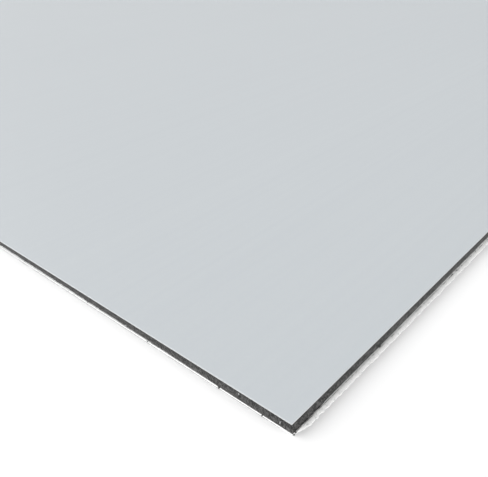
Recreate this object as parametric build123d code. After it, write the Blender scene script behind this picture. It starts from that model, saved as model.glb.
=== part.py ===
from build123d import *
import os

# Aluminium composite panel: one stock sheet lying flat, face side up.
# Three sheets bonded into one board: a thin rolled aluminium back skin, a thick
# polyethylene core and a thin coated aluminium face skin. The board is trimmed
# through all three at once, so its four edges are square and show the layers.
# Frame: X along the length, Y along the width, Z up, origin at the middle of
# the underside. All sizes are in millimetres.

# Stock size
sheet_length = 2440.0
sheet_width = 1220.0

# Build-up, from the underside upwards
back_skin_thickness = 0.3
core_thickness = 2.4
face_skin_thickness = 0.3

# Cut edge
# The trimming saw enters at the face, and rolls the face skin's arris over.
face_arris_radius = 0.12
# It leaves at the back, where only a small flat is taken off the skin's arris.
back_arris_chamfer = 0.06
# No rounding takes more than this share of the skin that it is cut in.
arris_share_of_skin = 0.6

# Levels of the bond lines
core_underside = back_skin_thickness
core_top = core_underside + core_thickness

parts_folder = "parts"


def trimmed_sheet(thickness, underside):
    """A flat sheet of the panel's outline, standing on its own level."""
    outline = Rectangle(sheet_length, sheet_width)
    return Pos(0, 0, underside) * extrude(outline, thickness)


def back_skin():
    """Lower aluminium skin, which the panel rests on."""
    sheet = trimmed_sheet(back_skin_thickness, 0)
    flat = min(back_arris_chamfer, arris_share_of_skin * back_skin_thickness)
    return chamfer(sheet.edges().group_by(Axis.Z)[0], flat)


def core():
    """Polyethylene core between the two bond lines."""
    return trimmed_sheet(core_thickness, core_underside)


def face_skin():
    """Upper aluminium skin, with the coating on its top."""
    sheet = trimmed_sheet(face_skin_thickness, core_top)
    radius = min(face_arris_radius, arris_share_of_skin * face_skin_thickness)
    return fillet(sheet.edges().group_by(Axis.Z)[-1], radius)


def main():
    os.makedirs(parts_folder, exist_ok=True)
    layers = {"back_skin": back_skin(), "core": core(), "face_skin": face_skin()}
    for name, layer in layers.items():
        layer.label = name
        export_step(layer, os.path.join(parts_folder, name + ".step"))


main()
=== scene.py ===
# Aluminium composite panel: one stock sheet lying flat on a pale floor, seen over its near corner.
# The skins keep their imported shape. This script gives every layer its finish and adds what the
# trimming saw left at the edge: a rough core, a burr under the back skin, swarf and smears.

import math
import random

import bmesh
import bpy
from mathutils import Matrix, Vector, noise


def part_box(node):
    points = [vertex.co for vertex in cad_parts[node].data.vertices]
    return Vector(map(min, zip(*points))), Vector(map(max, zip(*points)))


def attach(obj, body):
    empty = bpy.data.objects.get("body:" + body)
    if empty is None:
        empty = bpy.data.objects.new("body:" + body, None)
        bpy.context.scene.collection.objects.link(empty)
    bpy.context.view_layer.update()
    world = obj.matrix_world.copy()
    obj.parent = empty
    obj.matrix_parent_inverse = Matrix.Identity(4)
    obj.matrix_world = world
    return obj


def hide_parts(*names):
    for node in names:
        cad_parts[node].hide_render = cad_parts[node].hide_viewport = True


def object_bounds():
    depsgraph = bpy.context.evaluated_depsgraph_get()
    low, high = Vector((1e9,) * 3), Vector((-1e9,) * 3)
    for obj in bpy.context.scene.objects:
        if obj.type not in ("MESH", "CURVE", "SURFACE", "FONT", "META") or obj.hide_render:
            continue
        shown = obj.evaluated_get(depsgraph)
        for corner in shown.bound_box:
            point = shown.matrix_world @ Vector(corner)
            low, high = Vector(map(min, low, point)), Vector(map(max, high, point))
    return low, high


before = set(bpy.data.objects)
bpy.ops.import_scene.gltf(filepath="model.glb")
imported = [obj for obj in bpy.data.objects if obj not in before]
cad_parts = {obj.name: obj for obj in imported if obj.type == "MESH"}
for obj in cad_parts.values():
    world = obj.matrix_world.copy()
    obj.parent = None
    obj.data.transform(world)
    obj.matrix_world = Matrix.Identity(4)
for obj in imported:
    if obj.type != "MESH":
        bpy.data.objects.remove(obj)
cad_low, cad_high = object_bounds()
core_low, core_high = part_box("core")
back_low, back_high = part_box("back_skin")

# Lengths are in metres, unless a name or comment says otherwise.
MM = 0.001

# The photographed corner, where the two near edges meet on top of the face.
near_corner = Vector((cad_low.x, cad_low.y, cad_high.z))


# Camera

photo_width_px = 488
focal_length_px = 544.4
sensor_width_mm = 36.0
nearest_seen = 5 * MM
farthest_seen = 100.0
camera_from_corner = Vector((-53.23, -45.56, 78.14)) * MM
# The heading is from +Y towards +X.
camera_heading = math.radians(44.77)
camera_looks_down = math.radians(29.07)
camera_leans = math.radians(-5.0)


def photo_camera():
    """Close over the near corner, looking along the sheet's diagonal."""
    data = bpy.data.cameras.new("photo_camera")
    data.sensor_width = sensor_width_mm
    data.lens = focal_length_px / photo_width_px * sensor_width_mm
    data.clip_start = nearest_seen
    data.clip_end = farthest_seen
    camera = bpy.data.objects.new("photo_camera", data)
    heading = Matrix.Rotation(-camera_heading, 4, "Z")
    tilt = Matrix.Rotation(math.pi / 2 - camera_looks_down, 4, "X")
    lean = Matrix.Rotation(camera_leans, 4, "Z")
    place = Matrix.Translation(near_corner + camera_from_corner)
    camera.matrix_world = place @ heading @ tilt @ lean
    bpy.context.scene.collection.objects.link(camera)
    bpy.context.scene.camera = camera


# Colours and nodes

# The Mix node's sockets for colours, by number, because its sockets for other data share the names.
MIX_FACTOR, MIX_FROM, MIX_TO, MIX_RESULT = 0, 6, 7, 2


def linear(hex_code):
    """An sRGB hex colour as the linear red, green, blue and alpha that shaders take."""
    made = []
    for start in (1, 3, 5):
        value = int(hex_code[start:start + 2], 16) / 255
        made.append(value / 12.92 if value <= 0.04045 else ((value + 0.055) / 1.055) ** 2.4)
    return (*made, 1.0)


def set_inputs(tree, node, inputs):
    """Fills a node's inputs. Each is a value, or another node's output to link."""
    for name, value in inputs.items():
        if isinstance(value, bpy.types.NodeSocket):
            tree.links.new(value, node.inputs[name])
        else:
            node.inputs[name].default_value = value


def add_node(tree, kind, settings, inputs, output=0):
    """Adds a node with its settings and inputs, and gives one of its outputs."""
    made = tree.nodes.new(kind)
    for name, value in settings.items():
        setattr(made, name, value)
    set_inputs(tree, made, inputs)
    return made.outputs[output]


def new_material(name):
    """An empty material, its node tree, and the shader that its surface uses."""
    material = bpy.data.materials.new(name)
    material.use_nodes = True
    tree = material.node_tree
    return material, tree, tree.nodes["Principled BSDF"]


def grain(tree, size_mm, turn=(0.0, 0.0, 0.0), detail=2.0, roughness=0.5):
    """Noise whose blotches have this real size along X, Y and Z, turned by these angles."""
    place = add_node(tree, "ShaderNodeTexCoord", {}, {}, "Object")
    turned = add_node(tree, "ShaderNodeMapping", {}, {"Vector": place, "Rotation": turn})
    scale = [1 / (size * MM) for size in size_mm]
    sized = add_node(tree, "ShaderNodeMapping", {}, {"Vector": turned, "Scale": scale})
    inputs = {"Vector": sized, "Scale": 1.0, "Detail": detail, "Roughness": roughness}
    return add_node(tree, "ShaderNodeTexNoise", {}, inputs)


def ramp(tree, axis, start, full):
    """Rises from 0 to 1 between two places on an axis."""
    place = add_node(tree, "ShaderNodeTexCoord", {}, {}, "Object")
    along = add_node(tree, "ShaderNodeSeparateXYZ", {}, {"Vector": place}, axis)
    inputs = {"Value": along, "From Min": start, "From Max": full}
    return add_node(tree, "ShaderNodeMapRange", {}, inputs)


def out_of_sheet(tree, axis, start, full):
    """Rises from 0 to 1 between two distances out of the left end (X) or the near side (Y)."""
    edge = cad_low.x if axis == "X" else cad_low.y
    return ramp(tree, axis, edge - start, edge - full)


def tinted(tree, pattern, low, high, first_hex, last_hex):
    """Runs from one colour to another as the pattern goes from low to high."""
    inputs = {"Value": pattern, "From Min": low, "From Max": high}
    factor = add_node(tree, "ShaderNodeMapRange", {}, inputs)
    inputs = {MIX_FACTOR: factor, MIX_FROM: linear(first_hex), MIX_TO: linear(last_hex)}
    return add_node(tree, "ShaderNodeMix", {"data_type": "RGBA"}, inputs, MIX_RESULT)


def weighed(tree, parts):
    """The sum of some patterns, each taken by its own weight."""
    total = 0.0
    for pattern, weight in parts:
        inputs = {0: pattern, 1: weight, 2: total}
        total = add_node(tree, "ShaderNodeMath", {"operation": "MULTIPLY_ADD"}, inputs)
    return total


# Materials

# How far the coat reaches down the arris, and over how much it gives way to the cut metal.
coat_reaches_down = 0.1 * MM
coat_fades_over = 0.01 * MM
# The levels between which the back skin's rolled face gives way to its cut edge.
back_cut_levels = (0.02 * MM, 0.06 * MM)
# How far under the core's top its painted shade starts and is in full, and how much shows there.
top_shade_starts_under_top = 2.0 * MM
top_shade_full_under_top = 0.2 * MM
top_shade_share = 0.6
# Painted shade on the burr, by the distance out of the sheet: on the left end's rim, where it starts
# and where it is in full, and in the near side's crease, where it grows and where it thins out.
painted_rim_shade = (0.19 * MM, 0.23 * MM)
painted_crease_shade = (0.08 * MM, 0.12 * MM), (0.24 * MM, 0.32 * MM)


def coil_coated_aluminium():
    """Polyester coil coat on aluminium sheet: even satin light grey, with the soft skin of a baked
    paint. Where the saw has cut the sheet, its edge is bare bright metal."""
    material, tree, shader = new_material("coil_coated_aluminium")
    # The roller coater leaves faint bands along the sheet, and the paint bakes with a faint mottle.
    bands = grain(tree, (700.0, 2.5, 2.5), detail=3.0)
    mottle = grain(tree, (0.9, 0.9, 0.9), detail=3.0)
    clouds = grain(tree, (260.0, 260.0, 260.0), detail=1.0)
    tone = weighed(tree, [(bands, 0.4), (mottle, 0.35), (clouds, 0.25)])
    coat = tinted(tree, tone, 0.3, 0.7, "#B8BDC1", "#BCC1C4")
    # Sawn metal shows fine bright and dull lines across its thickness.
    lines = grain(tree, (0.25, 0.25, 2.0), detail=2.0)
    metal = tinted(tree, lines, 0.0, 1.0, "#B9BBBC", "#E1E2E2")
    coat_ends = cad_high.z - coat_reaches_down
    coated = ramp(tree, "Z", coat_ends - coat_fades_over, coat_ends)
    colour = {MIX_FACTOR: coated, MIX_FROM: metal, MIX_TO: coat}
    # The saw lines scatter light, so the cut metal isn't fully mirror-like.
    metallic = {"Value": coated, "To Min": 0.3, "To Max": 0.0}
    roughness = {"Value": mottle, "From Min": 0.3, "From Max": 0.7, "To Min": 0.40, "To Max": 0.46}
    # Orange peel: waves about a millimetre long and a few thousandths deep.
    peel = {"Height": grain(tree, (1.3, 1.3, 1.3), detail=1.0), "Distance": 0.004 * MM}
    set_inputs(tree, shader, {
        "Base Color": add_node(tree, "ShaderNodeMix", {"data_type": "RGBA"}, colour, MIX_RESULT),
        "Metallic": add_node(tree, "ShaderNodeMapRange", {}, metallic),
        "Roughness": add_node(tree, "ShaderNodeMapRange", {}, roughness),
        "Normal": add_node(tree, "ShaderNodeBump", {}, peel),
    })
    return material


def mill_finish_aluminium():
    """Rolled aluminium sheet as it left the mill: pale satin metal with fine lines along the sheet,
    and whiter and duller where the saw has cut it."""
    material, tree, shader = new_material("mill_finish_aluminium")
    # Rolling lines are drawn about ten times coarser than real, or no view would show them. The
    # mill's rolls also leave broad faint streaks, which show from farther away.
    lines = grain(tree, (90.0, 0.8, 0.8), detail=4.0)
    streaks = grain(tree, (1500.0, 22.0, 22.0), detail=3.0)
    rolled = weighed(tree, [(lines, 0.5), (streaks, 0.5)])
    sawn = grain(tree, (0.3, 0.3, 1.2), detail=2.0)
    at_edge = ramp(tree, "Z", *back_cut_levels)
    pale = tinted(tree, rolled, 0.3, 0.7, "#C4C7C9", "#DADCDD")
    cut = tinted(tree, sawn, 0.0, 1.0, "#E4E6E6", "#FAFBFB")
    colour = {MIX_FACTOR: at_edge, MIX_FROM: pale, MIX_TO: cut}
    # The torn facets of the cut scatter light, so only the rolled face is fully mirror-like.
    metallic = {"Value": at_edge, "To Min": 1.0, "To Max": 0.1}
    roughness = {"Value": at_edge, "To Min": 0.4, "To Max": 0.55}
    relief = {"Height": weighed(tree, [(lines, 1.0), (sawn, 1.0)]), "Distance": 0.003 * MM}
    set_inputs(tree, shader, {
        "Base Color": add_node(tree, "ShaderNodeMix", {"data_type": "RGBA"}, colour, MIX_RESULT),
        "Metallic": add_node(tree, "ShaderNodeMapRange", {}, metallic),
        "Roughness": add_node(tree, "ShaderNodeMapRange", {}, roughness),
        "Normal": add_node(tree, "ShaderNodeBump", {}, relief),
    })
    return material


def torn_aluminium():
    """Aluminium torn and smeared by saw teeth: the brightest metal on the sheet, and uneven."""
    material, tree, shader = new_material("torn_aluminium")
    tears = grain(tree, (0.5, 0.25, 0.25), detail=3.0)
    white = tinted(tree, tears, 0.35, 0.48, "#DCDDDC", "#FFFFFE")
    # Painted shade: a grey band on the left end burr's rim, for the contact shadow at its tip.
    rim = out_of_sheet(tree, "X", *painted_rim_shade)
    inputs = {MIX_FACTOR: rim, MIX_FROM: white, MIX_TO: linear("#969796")}
    white_with_rim_shade = add_node(tree, "ShaderNodeMix", {"data_type": "RGBA"}, inputs, MIX_RESULT)
    # Painted shade: dark dashes in the crease where the near side's burr leaves the sheet.
    grows, thins = painted_crease_shade
    crease = [(out_of_sheet(tree, "Y", *grows), 1.0), (out_of_sheet(tree, "Y", *thins), -1.0)]
    dashes = grain(tree, (1.6, 0.5, 0.5), detail=2.0)
    inputs = {"Value": dashes, "From Min": 0.50, "From Max": 0.55, "To Max": 0.7}
    inputs = {0: weighed(tree, crease), 1: add_node(tree, "ShaderNodeMapRange", {}, inputs)}
    crease_shade = add_node(tree, "ShaderNodeMath", {"operation": "MULTIPLY"}, inputs)
    colour = {MIX_FACTOR: crease_shade, MIX_FROM: white_with_rim_shade, MIX_TO: linear("#5A5A59")}
    roughness = {"Value": tears, "From Min": 0.3, "From Max": 0.7, "To Min": 0.65, "To Max": 0.5}
    # Its torn facets scatter light much as chalk does, so it is only partly mirror-like.
    set_inputs(tree, shader, {
        "Base Color": add_node(tree, "ShaderNodeMix", {"data_type": "RGBA"}, colour, MIX_RESULT),
        "Metallic": 0.15,
        "Roughness": add_node(tree, "ShaderNodeMapRange", {}, roughness),
        "Normal": add_node(tree, "ShaderNodeBump", {}, {"Height": tears, "Distance": 0.02 * MM}),
    })
    return material


def smeared_aluminium():
    """Aluminium wiped over the core in a thin film, mixed with its dust: grey, with a dull sheen."""
    material, tree, shader = new_material("smeared_aluminium")
    wiped = grain(tree, (0.5, 0.5, 0.2), detail=3.0)
    set_inputs(tree, shader, {
        "Base Color": tinted(tree, wiped, 0.3, 0.7, "#A2A3A3", "#DDDEDD"),
        "Metallic": 0.4,
        "Roughness": 0.55,
        "Normal": add_node(tree, "ShaderNodeBump", {}, {"Height": wiped, "Distance": 0.01 * MM}),
    })
    return material


def dulled_aluminium():
    """Aluminium swarf rubbed along with the plastic: grey, with a dull sheen."""
    material, tree, shader = new_material("dulled_aluminium")
    rubbed = grain(tree, (0.12, 0.12, 0.12), detail=2.0)
    set_inputs(tree, shader, {
        "Base Color": tinted(tree, rubbed, 0.0, 1.0, "#8F9091", "#D0D1D2"),
        "Metallic": 0.6,
        "Roughness": 0.5,
        "Normal": add_node(tree, "ShaderNodeBump", {}, {"Height": rubbed, "Distance": 0.01 * MM}),
    })
    return material


def sawn_polyethylene():
    """Black recycled polyethylene, cut by a saw: dull dark grey where it is smooth, and streaked
    with paler grey where the teeth dragged and whitened it."""
    material, tree, shader = new_material("sawn_polyethylene")
    drag = grain(tree, (0.32, 0.32, 0.7), turn=(0.3, 0.3, 0.0), detail=4.0, roughness=0.8)
    blotch = grain(tree, (1.1, 1.1, 1.1), detail=2.0)
    whitened = weighed(tree, [(drag, 0.8), (blotch, 0.2)])
    sawn = tinted(tree, whitened, 0.465, 0.58, "#020202", "#696867")
    # Painted shade: darker towards the top, under the face skin, for the skin's shade.
    top = core_high.z
    top_shade = ramp(tree, "Z", top - top_shade_starts_under_top, top - top_shade_full_under_top)
    top_shade_part = weighed(tree, [(top_shade, top_shade_share)])
    colour = {MIX_FACTOR: top_shade_part, MIX_FROM: sawn, MIX_TO: linear("#0C0C0C")}
    roughness = {"Value": drag, "From Min": 0.3, "From Max": 0.7, "To Min": 0.75, "To Max": 0.55}
    relief = {"Height": grain(tree, (0.18, 0.18, 0.4), detail=2.0), "Distance": 0.015 * MM}
    set_inputs(tree, shader, {
        "Base Color": add_node(tree, "ShaderNodeMix", {"data_type": "RGBA"}, colour, MIX_RESULT),
        "IOR": 1.51,
        "Roughness": add_node(tree, "ShaderNodeMapRange", {}, roughness),
        "Normal": add_node(tree, "ShaderNodeBump", {}, relief),
    })
    return material


def painted_floor():
    """A white painted studio floor: matt, with no pattern of its own."""
    material, tree, shader = new_material("painted_floor")
    inputs = {"Base Color": linear("#F2F2F2"), "Roughness": 0.9, "Specular IOR Level": 0.1}
    set_inputs(tree, shader, inputs)
    return material


# Shared making

# The photo comes this close only at one corner, so the edge is cut finest there.
close_reach = 150 * MM
close_pitch = 0.25 * MM
far_pitch = 1.5 * MM
# Two places this close count as one.
touching = 0.01 * MM

UP, ALONG_X, ALONG_Y = Vector((0.0, 0.0, 1.0)), Vector((1.0, 0.0, 0.0)), Vector((0.0, 1.0, 0.0))


def closed_wire(bm, stops, level):
    """A closed wire through these places at one level: its corners, and the sides between them."""
    corners = [bm.verts.new((x, y, level)) for x, y in stops]
    return corners, [bm.edges.new(ends) for ends in zip(corners, corners[1:] + corners[:1])]


def sheet_outline(bm, low, high, level):
    """The sheet's outline as a closed wire, cut finely beside the photographed corner."""
    stops = [
        (low.x, low.y),
        (low.x + close_reach, low.y),
        (high.x, low.y),
        (high.x, high.y),
        (low.x, high.y),
        (low.x, low.y + close_reach),
    ]
    for side in closed_wire(bm, stops, level)[1]:
        length = side.calc_length()
        pitch = close_pitch if length < close_reach + touching else far_pitch
        bmesh.ops.subdivide_edges(bm, edges=[side], cuts=round(length / pitch) - 1)


def outward(place, low, high):
    """Which way a point of the outline looks out of the sheet: along X, along Y, or both."""
    x = (place.x > high.x - touching) - (place.x < low.x + touching)
    y = (place.y > high.y - touching) - (place.y < low.y + touching)
    return Vector((x, y, 0.0))


def parts_of(result, kind):
    """The vertices, edges or faces that an operator made."""
    return [part for part in result["geom"] if isinstance(part, kind)]


def next_row(bm, rim):
    """Extrudes the last edges of a surface once more, and gives the new edges and their vertices."""
    grown = bmesh.ops.extrude_edge_only(bm, edges=rim)
    return parts_of(grown, bmesh.types.BMEdge), parts_of(grown, bmesh.types.BMVert)


def object_from(bm, name, material):
    """Turns a bmesh into an object of one material."""
    mesh = bpy.data.meshes.new(name)
    bm.to_mesh(mesh)
    bm.free()
    mesh.materials.append(material)
    made = bpy.data.objects.new(name, mesh)
    bpy.context.scene.collection.objects.link(made)
    return made


def finished_piece(bm, name, material):
    """Turns a bmesh into a piece of the object that rides with the sheet."""
    bmesh.ops.recalc_face_normals(bm, faces=bm.faces[:])
    piece = object_from(bm, name, material)
    piece.data.shade_smooth()
    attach(piece, "root")
    return piece


def give_thickness(piece, thickness):
    """Makes a piece of one surface as thick as its metal, half to each side."""
    solid = piece.modifiers.new("thickness", "SOLIDIFY")
    solid.thickness = thickness
    solid.offset = 0.0


# Sawn core

# How many rows of faces its edge has, from bottom to top.
core_rows = 9
# Leaning streaks of the blade's teeth, tears between them, and fuzz all over: how large each is,
# and how deep it goes.
saw_mark_width = 0.42 * MM
saw_mark_height = 1.3 * MM
saw_mark_slant = 0.35
saw_mark_depth = 0.035 * MM
tear_size = 0.55 * MM
tear_depth = 0.05 * MM
fuzz_size = 0.22 * MM
fuzz_depth = 0.018 * MM


def saw_depth(place):
    """How far the sawn core stands back from the trim line at a place of its edge."""
    slant = saw_mark_slant * place.z
    stretched = Vector((place.x + slant, place.y + slant, place.z * saw_mark_width / saw_mark_height))
    marks = noise.noise(stretched / saw_mark_width)
    tears = max(0.0, noise.noise(place / tear_size))
    fuzz = noise.noise(place / fuzz_size)
    return saw_mark_depth * (1 + marks) + tear_depth * tears + fuzz_depth * (1 + fuzz)


def sawn_core(material):
    """The polyethylene sheet with the rough edge that a saw leaves on all four sides."""
    bm = bmesh.new()
    sheet_outline(bm, core_low, core_high, core_low.z)
    bmesh.ops.edgeloop_fill(bm, edges=bm.edges[:])
    top = parts_of(bmesh.ops.extrude_face_region(bm, geom=bm.faces[:]), bmesh.types.BMVert)
    bmesh.ops.translate(bm, verts=top, vec=(0.0, 0.0, core_high.z - core_low.z))
    uprights = [edge for edge in bm.edges if abs(edge.verts[0].co.z - edge.verts[1].co.z) > touching]
    bmesh.ops.subdivide_edges(bm, edges=uprights, cuts=core_rows - 1, use_grid_fill=True)
    for vert in bm.verts:
        vert.co -= outward(vert.co, core_low, core_high) * saw_depth(vert.co)
    piece = finished_piece(bm, "sawn_core", material)
    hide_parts("core")


# Burr under the back skin

burr_thickness = 0.05 * MM
# Its root starts this far inside the sheet's outline.
burr_inset = 0.04 * MM
burr_steps = 7
# Its reach, the share by which it still widens once it is grown, and its section: the levels of
# its root and tip over the floor, and how far it arches up between them.
burr_on_left_end = (0.29 * MM, 0.15, (0.25 * MM, 0.15 * MM, 0.03 * MM))
burr_elsewhere = (1.20 * MM, 0.0, (0.15 * MM, 0.035 * MM, 0.14 * MM))
# Under 1, the lean brings the top of the arch nearer to the sheet.
burr_lean = 0.66
# It starts small at the near corner, grows over the first distance and widens over the second.
least_burr = 0.15
burr_grows_over = 4 * MM
burr_widens_over = 100 * MM
# Its rim runs in small teeth and a slow sway, and its level is uneven towards the tip.
tooth_size = 0.45 * MM
teeth_share = 0.25
sway_size = 5 * MM
sway_share = 0.12
level_share = 0.25


def from_near_corner(place):
    """How far along the two near edges a place of the outline lies from the corner."""
    return (place.x - cad_low.x) + (place.y - cad_low.y)


def on_left_end(place):
    """Whether a place of the outline is on the left end."""
    return place.x < cad_low.x + touching


def burr_share(place, widening):
    """How much of its full reach the burr has at a place of the outline."""
    grown = min(1.0, from_near_corner(place) / burr_grows_over)
    widened = widening * min(1.0, from_near_corner(place) / burr_widens_over)
    teeth = teeth_share * noise.noise(place / tooth_size)
    sway = sway_share * noise.noise(place / sway_size)
    return (least_burr + (1 - least_burr) * grown) * (1 + widened + teeth + sway)


def burr_level(out, root, tip, arch):
    """The level of the burr's section at a share of its reach."""
    return root + (tip - root) * out + arch * math.sin(math.pi * out ** burr_lean)


def back_burr(material):
    """The ragged lip of metal that the saw pushed out as it left the back skin."""
    bm = bmesh.new()
    sheet_outline(bm, back_low, back_high, back_low.z)
    # Each point of the outline keeps where its tip lies from it, and the shape of its section.
    growth = bm.verts.layers.float_vector.new("growth")
    section = bm.verts.layers.float_vector.new("section")
    for vert in bm.verts:
        way = outward(vert.co, back_low, back_high)
        reach, widening, levels = burr_on_left_end if on_left_end(vert.co) else burr_elsewhere
        vert[growth] = way * reach * burr_share(vert.co, widening)
        vert[section] = levels
        vert.co -= way * burr_inset
        vert.co.z = burr_level(0, *vert[section])
    rim = bm.edges[:]
    for step in range(burr_steps):
        out = (step + 1) / burr_steps
        rim, row = next_row(bm, rim)
        for vert in row:
            vert.co += vert[growth] / burr_steps
            uneven = 1 + level_share * out * noise.noise(vert.co / tooth_size)
            vert.co.z = burr_level(out, *vert[section]) * uneven
    bm.verts.layers.float_vector.remove(growth)
    bm.verts.layers.float_vector.remove(section)
    give_thickness(finished_piece(bm, "back_burr", material), burr_thickness)


# Metal dragged over the core

drag_thickness = 0.03 * MM
# It starts this far down the back skin's edge, and leans in this far over the core.
drag_overlap = 0.05 * MM
drag_lean = 0.05 * MM
drag_steps = 3
# How high the metal is dragged, and where along the edge it starts and is in full. It rises as
# this power of the distance, so it rises fastest where it starts.
drag_on_left_end = (0.66 * MM, 17 * MM, 115 * MM)
drag_elsewhere = (0.36 * MM, 35 * MM, 85 * MM)
drag_power = 0.7
least_drag = 0.005 * MM
# Its rim runs in small teeth and a slow sway, as the burr's does.
drag_tooth_size = 0.5 * MM
drag_teeth_share = 0.35
drag_sway_size = 4 * MM
drag_sway_share = 0.3


def drag_height(place):
    """How far up the core the saw dragged the back skin's metal at a place of the outline."""
    height, start, full = drag_on_left_end if on_left_end(place) else drag_elsewhere
    grown = min(1.0, max(0.0, (from_near_corner(place) - start) / (full - start))) ** drag_power
    teeth = drag_teeth_share * noise.noise(place / drag_tooth_size)
    sway = drag_sway_share * noise.noise(place / drag_sway_size)
    return max(least_drag, height * grown * (1 + teeth + sway))


def dragged_metal(material):
    """A thin ragged film of the back skin's metal, smeared upwards over the cut core."""
    bm = bmesh.new()
    sheet_outline(bm, back_low, back_high, back_high.z - drag_overlap)
    growth = bm.verts.layers.float_vector.new("growth")
    for vert in bm.verts:
        rise = drag_overlap + drag_height(vert.co)
        vert[growth] = Vector((0.0, 0.0, rise)) - outward(vert.co, back_low, back_high) * drag_lean
    rim = bm.edges[:]
    for step in range(drag_steps):
        rim, row = next_row(bm, rim)
        for vert in row:
            vert.co += vert[growth] / drag_steps
    bm.verts.layers.float_vector.remove(growth)
    give_thickness(finished_piece(bm, "dragged_metal", material), drag_thickness)


# Swarf and plastic smears

# Each side of the sheet: where it starts, which way it runs, and which way it looks.
edge_sides = {
    "left_end": (Vector((cad_low.x, cad_low.y, 0.0)), ALONG_Y, -ALONG_X),
    "near_side": (Vector((cad_low.x, cad_low.y, 0.0)), ALONG_X, -ALONG_Y),
    "right_end": (Vector((cad_high.x, cad_low.y, 0.0)), ALONG_Y, ALONG_X),
    "far_side": (Vector((cad_low.x, cad_high.y, 0.0)), ALONG_X, ALONG_Y),
}
# What the photo shows. For each flake: its side, and in mm the distance from the corner, the level
# and the size. For each smear: the same, and how far it reaches out over the burr.
photographed_flakes = [
    ("left_end", 3.0, 1.50, 0.75),
    ("left_end", 13.5, 2.00, 0.45),
    ("left_end", 51.3, 0.85, 0.60),
    ("near_side", 26.9, 0.50, 0.25),
]
photographed_smears = [
    ("left_end", 7.3, 0.20, 0.40, 0.25),
    ("left_end", 19.2, 0.24, 0.70, 0.26),
    ("left_end", 42.9, 0.30, 0.40, 0.20),
    ("left_end", 68.1, 0.50, 0.40, 0.15),
    ("left_end", 102.2, 0.80, 0.45, 0.10),
    ("near_side", 0.25, 0.08, 0.40, 0.34),
    ("near_side", 0.8, 0.20, 0.50, 0.34),
    ("near_side", 1.4, 0.34, 3.00, 0.08),
    ("near_side", 4.2, 0.34, 2.80, 0.08),
    ("near_side", 6.4, 0.36, 2.20, 0.06),
    ("near_side", 8.6, 0.36, 3.20, 0.06),
    ("near_side", 30.8, 0.24, 0.80, 0.26),
    ("near_side", 66.5, 0.22, 1.20, 0.22),
    ("near_side", 69.0, 0.22, 0.90, 0.20),
    ("near_side", 81.0, 0.22, 0.80, 0.20),
]
# The photo shows the edge as far as this from the corner, both ways.
photographed_reach_mm = 130.0
# Out of the photo's view: how many there are, how far they stay from what is photographed and from
# the side's end, and the least and most of each value that follows the distance.
flakes_for_each_metre = 12
smears_for_each_metre = 18
scatter_margin_mm = 2
flake_ranges = (0.6, 2.4), (0.2, 0.5)
smear_ranges = (0.2, 0.4), (0.3, 0.9), (0.08, 0.25)
flake_seed = 11
smear_seed = 23


def scattered(chance, for_each_metre, ranges):
    """More marks of the same kind along the rest of the edge, out of the photo's view."""
    found = []
    for name, (_, along, _) in edge_sides.items():
        length_mm = (cad_high - cad_low).dot(along) / MM
        shown_mm = photographed_reach_mm if name in ("left_end", "near_side") else 0.0
        for mark in range(round((length_mm - shown_mm) / 1000 * for_each_metre)):
            distance = chance.uniform(shown_mm + scatter_margin_mm, length_mm - scatter_margin_mm)
            found.append((name, distance, *[chance.uniform(*each) for each in ranges]))
    return found


# How far a flake's middle sits in the core, its curl's radius as a share of its size, how far it
# may lean and turn along the edge, and the least and most that it curls.
flake_sink_mm = 0.10
flake_steps = 5
flake_thickness = 0.03 * MM
flake_radius_share = 0.4
flake_most_tilt = 0.5
flake_most_twist = 0.8
flake_least_turn, flake_most_turn = math.radians(80), math.radians(150)


def swarf(material):
    """Curled flakes of metal that the saw left stuck in the core."""
    chance = random.Random(flake_seed)
    bm = bmesh.new()
    marks = photographed_flakes + scattered(chance, flakes_for_each_metre, flake_ranges)
    for name, distance, level, size in marks:
        start, along, way = edge_sides[name]
        centre = start + (along * distance + UP * level - way * flake_sink_mm) * MM
        axis = (UP + along * chance.uniform(-flake_most_tilt, flake_most_tilt)).normalized()
        facing = (way + along * chance.uniform(-flake_most_twist, flake_most_twist)).normalized()
        curl = facing * size * flake_radius_share * MM
        half = axis * size / 2 * MM
        ends = [bm.verts.new(centre + curl - half), bm.verts.new(centre + curl + half)]
        edge = bm.edges.new(ends)
        turn = chance.uniform(flake_least_turn, flake_most_turn)
        bmesh.ops.spin(bm, geom=[*ends, edge], cent=centre, axis=axis, angle=turn, steps=flake_steps)
    give_thickness(finished_piece(bm, "swarf", material), flake_thickness)


smear_height_mm = 0.32
smear_lump_size = 0.3 * MM
smear_lump_share = 0.35


def plastic_smears(material):
    """Crumbs of the core that the saw pressed over the back skin's bright edge."""
    chance = random.Random(smear_seed)
    bm = bmesh.new()
    marks = photographed_smears + scattered(chance, smears_for_each_metre, smear_ranges)
    for name, distance, level, size, proud in marks:
        start, along, way = edge_sides[name]
        centre = start + (along * distance + UP * level) * MM
        shape = Matrix((along * size / 2, way * proud, UP * smear_height_mm / 2)).transposed()
        place = Matrix.Translation(centre) @ (shape * MM).to_4x4()
        made = bmesh.ops.create_icosphere(bm, subdivisions=2, radius=1.0, matrix=place)
        for vert in made["verts"]:
            lump = smear_lump_share * noise.noise(vert.co / smear_lump_size)
            vert.co = centre + (vert.co - centre) * (1 + lump)
            vert.co.z = max(vert.co.z, touching)
    finished_piece(bm, "plastic_smears", material)


# Stage and light

floor_reach = 40.0
# The floor is open under the sheet, up to this far from its edges, so its back shows from below.
floor_under_edge = 3 * MM
# How bright the room is as light on the sheet, and as the plain background behind it.
room_light = 0.42
background_light = 1.0
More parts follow.
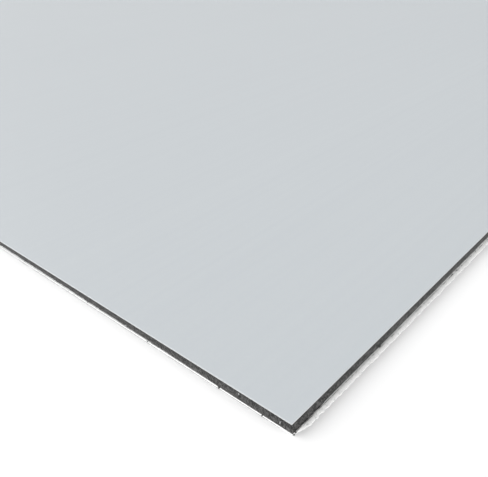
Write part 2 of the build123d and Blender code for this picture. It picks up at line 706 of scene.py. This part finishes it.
# Each lamp: strength, how wide it spreads, its height over the floor, and its bearing from +Y
# towards -X. The key comes over the sheet from the left, the fill from the right front, and the
# back light low from behind, where it only brightens the far end of the face.
key_light = (3.5, math.radians(80), math.radians(29), math.radians(34))
fill_light = (1.8, math.radians(50), math.radians(24), math.radians(184))
back_light = (0.22, math.radians(60), math.radians(8), math.radians(315))


def floor(material):
    """A wide flat frame whose opening the sheet covers."""
    bm = bmesh.new()
    stops = [cad_low.xy, (cad_high.x, cad_low.y), cad_high.xy, (cad_low.x, cad_high.y)]
    corners, sides = closed_wire(bm, stops, cad_low.z)
    for vert in next_row(bm, sides)[1]:
        vert.co += outward(vert.co, cad_low, cad_high) * floor_reach
    for vert in corners:
        vert.co -= outward(vert.co, cad_low, cad_high) * floor_under_edge
    object_from(bm, "floor", material)


def soft_lamp(name, strength, spread, height, bearing):
    """A lamp far away, as soft as its spread is wide."""
    data = bpy.data.lights.new(name, "SUN")
    data.energy = strength
    data.angle = spread
    lamp = bpy.data.objects.new(name, data)
    level = math.cos(height)
    direction = Vector((-math.sin(bearing) * level, math.cos(bearing) * level, math.sin(height)))
    lamp.rotation_mode = "QUATERNION"
    lamp.rotation_quaternion = direction.to_track_quat("Z", "Y")
    bpy.context.scene.collection.objects.link(lamp)


def studio():
    """Soft light from the room and three lamps, on a plain white background."""
    world = bpy.data.worlds.new("studio")
    world.use_nodes = True
    tree = world.node_tree
    seen = add_node(tree, "ShaderNodeLightPath", {}, {}, "Is Camera Ray")
    strength = {"Value": seen, "To Min": room_light, "To Max": background_light}
    set_inputs(tree, tree.nodes["Background"], {
        "Color": linear("#FFFFFF"),
        "Strength": add_node(tree, "ShaderNodeMapRange", {}, strength),
    })
    bpy.context.scene.world = world
    soft_lamp("key_light", *key_light)
    soft_lamp("fill_light", *fill_light)
    soft_lamp("back_light", *back_light)
    bpy.context.scene.view_settings.view_transform = "Standard"


photo_camera()
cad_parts["face_skin"].material_slots[0].material = coil_coated_aluminium()
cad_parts["back_skin"].material_slots[0].material = mill_finish_aluminium()
polyethylene = sawn_polyethylene()
sawn_core(polyethylene)
plastic_smears(polyethylene)
back_burr(torn_aluminium())
dragged_metal(smeared_aluminium())
swarf(dulled_aluminium())
floor(painted_floor())
studio()
